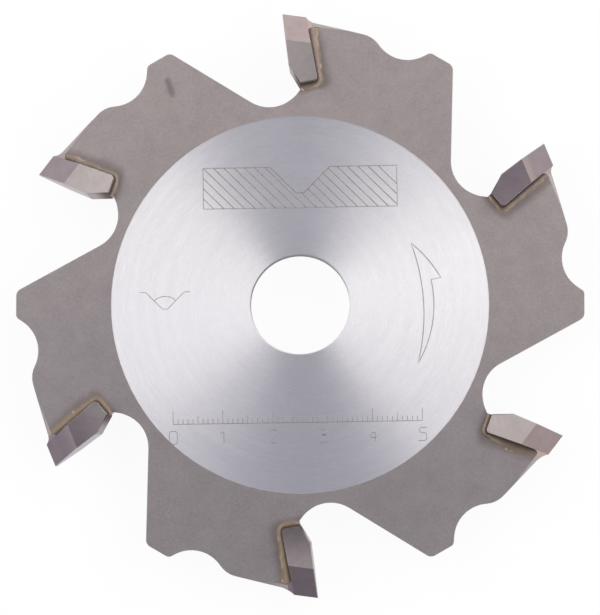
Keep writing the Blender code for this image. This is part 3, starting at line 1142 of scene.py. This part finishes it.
def corner_paths():
    """Section of the groove with an arc between its sides, for the groove's angle."""
    width, depth = CORNER_SIZE
    flat = CORNER_FLAT / 2
    half = [(flat, 0.0), (flat + depth, depth), (width / 2, depth)]
    points = [Vector((-across, height)) for across, height in reversed(half)]
    points += [Vector(point) for point in half]
    apex = Vector((0.0, -flat))
    arc = [apex + heading(angle) * depth * CORNER_ARC for angle in CORNER_ARC_ANGLES]
    middle = Vector((0.0, depth / 2))
    return [([point - middle for point in path], False) for path in (points, arc)]


def rule_paths():
    """Plain rule with a tick for each step, longer at each fifth and tenth."""
    paths = []
    for i in range(RULE_STEPS + 1):
        tick = next(tick for every, tick in RULE_TICKS.items() if i % every == 0)
        x = (i - RULE_STEPS / 2) * RULE_STEP
        paths.append(([Vector((x, 0.0)), Vector((x, tick))], False))
    half = RULE_STEPS / 2 * RULE_STEP
    paths.append(([Vector((-half, 0.0)), Vector((half, 0.0))], False))
    columns, rows = DIGIT_GRID
    for digit, strokes in enumerate(DIGITS):
        left = digit * DIGIT_STEPS * RULE_STEP - half - DIGIT_WIDTH / 2
        low = -DIGIT_HEIGHT - DIGIT_DROP
        for corners, closed in strokes:
            scaled = [
                Vector((left + a / columns * DIGIT_WIDTH, low + b / rows * DIGIT_HEIGHT))
                for a, b in corners
            ]
            paths.append((rounded(scaled, DIGIT_WIDTH / 3, closed), closed))
    return paths


def placed(paths, centre):
    """Paths moved to a centre."""
    return [([point + Vector(centre) for point in points], closed) for points, closed in paths]


def stroke_tree():
    """Draws paths as flat lines of one width, a hair above the surface."""
    inputs = {
        "Geometry": "Geometry",
        "Line Width": "Float",
        "Relief": "Float",
        "Material": "Material",
    }
    graph, entry = new_tree("Etched Lines", inputs)
    size = {"Width": entry.other("Line Width"), "Height": entry.other("Relief") * 2.0}
    section = graph.node("GeometryNodeCurvePrimitiveQuadrilateral", {"mode": "RECTANGLE"}, size)
    path = graph.node("GeometryNodeSetCurveNormal", {"mode": "Z_UP"}, {"Curve": entry})
    sweep = {"Curve": path, "Profile Curve": section, "Fill Caps": True}
    lines = graph.node("GeometryNodeCurveToMesh", {}, sweep)
    return close_tree(graph, lines, entry)


def marks_piece(name, paths, width, tree, material):
    """Lines etched into the upper land."""
    carrier = new_object(name, curve_data(name, paths, LAND_FACE))
    values = {"Line Width": width, "Relief": LINE_RELIEF, "Material": material}
    run_tree(carrier, tree, values)
    lines = settled(carrier)
    lines.data.transform(Matrix.Rotation(math.radians(MARKS_TURN), 4, "Z"))
    return lines


# Camera and studio
def add_camera():
    """Camera at the photograph's angle."""
    lens = bpy.data.cameras.new("camera")
    lens.lens = CAMERA_LENS
    lens.sensor_width = CAMERA_SENSOR
    camera = new_object("camera", lens)
    tilt = Matrix.Identity(4)
    for angle, axis in zip(CAMERA_TILT, "XYZ"):
        tilt = Matrix.Rotation(math.radians(angle), 4, axis) @ tilt
    turn = Matrix.Rotation(math.radians(PHOTO_TURN), 4, "Z")
    camera.matrix_world = turn @ Matrix.Translation(CAMERA_PLACE) @ tilt
    bpy.context.scene.camera = camera


def add_lamp(name, azimuth, slant, distance, size, power):
    """Soft box that faces the blade."""
    lamp = bpy.data.lights.new(name, "AREA")
    lamp.shape = "RECTANGLE"
    lamp.size = size[0]
    lamp.size_y = size[1]
    lamp.energy = power
    lamp.color = LAMP_COLOR
    box = new_object(name, lamp)
    turn = Matrix.Rotation(math.radians(azimuth), 4, "Z")
    lean = Matrix.Rotation(math.radians(slant), 4, "Y")
    upright = Matrix.Rotation(math.radians(90.0), 4, "Z")
    box.matrix_world = turn @ lean @ Matrix.Translation((0.0, 0.0, distance)) @ upright


def floor_paint(graph):
    """Pale floor that shows as white, with the blade's shadow kept faint."""
    rays = graph.node("ShaderNodeLightPath")
    seen = rays.other("Is Camera Ray").most(rays.other("Is Glossy Ray"))
    seen = seen.most(rays.other("Is Transmission Ray"))
    matte = graph.node("ShaderNodeBsdfDiffuse", {}, {"Color": FLOOR_COLOR})
    white = graph.node("ShaderNodeEmission", {}, {"Color": WHITE})
    return graph.node("ShaderNodeMixShader", {}, {0: seen * FLOOR_GLOW, 1: matte, 2: white})


def add_stage():
    """Floor under the blade, soft boxes at its sides and a pale room round it."""
    level = cad_box[0][2]
    work = bmesh.new()
    bmesh.ops.create_grid(work, x_segments=1, y_segments=1, size=FLOOR_SIZE)
    bmesh.ops.translate(work, verts=work.verts, vec=(0.0, 0.0, level))
    floor = new_object("floor", free_mesh(work, "floor"))
    floor.data.materials.append(new_material("floor", floor_paint))
    for name, facts in SOFT_BOXES.items():
        add_lamp(name, *facts)
    world = bpy.data.worlds.new("room")
    bpy.context.scene.world = world
    world.use_nodes = True
    graph = Graph(world.node_tree)
    # The room is darker overhead, and brighter towards +Y and +X
    x, y, z = graph.split(graph.node("ShaderNodeTexCoord").other("Generated"))
    strength = (0.95 - 0.5 * z.rise(0.0, 0.6)) * (0.73 + 0.6 * y.rise(-0.3, 0.3))
    strength = strength * (0.77 + 0.46 * x.rise(-0.9, 0.9))
    room = graph.node("ShaderNodeBackground", {}, {"Color": ROOM_COLOR, "Strength": strength})
    graph.node("ShaderNodeOutputWorld", {}, {"Surface": room})
    bpy.context.scene.view_settings.view_transform = "Standard"


add_camera()
wedges = slope_cutter("slope_cutter")
plate = plate_piece(wedges)
tips = tips_piece(new_material("carbide", carbide))
alloy = new_material("braze_alloy", braze_alloy)
fillet_tree = braze_tree()
fillets = [braze_piece(i, fillet_tree, wedges, alloy) for i in range(TEETH)]
etched = new_material("etched_line", etched_line(SIGN_COLORS))
faint = new_material("faint_line", etched_line(FIGURE_COLORS))
line_tree = stroke_tree()
signs = [(arrow_path(), True)] + placed(board_paths(), BOARD_CENTRE)
figures = placed(rule_paths(), RULE_CENTRE) + placed(corner_paths(), CORNER_CENTRE)
marks = [
    marks_piece("etched_signs", signs, LINE_WIDTH, line_tree, etched),
    marks_piece("etched_rule", figures, THIN_LINE_WIDTH, line_tree, faint),
]

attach(plate, "root")
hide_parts("blade_body")
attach(tips, "root")
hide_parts(*TIP_NODES)
for fillet, node in zip(fillets, SEAM_NODES):
    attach(fillet, "root")
    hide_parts(node)

for mark in marks:
    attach(mark, "root")

add_stage()
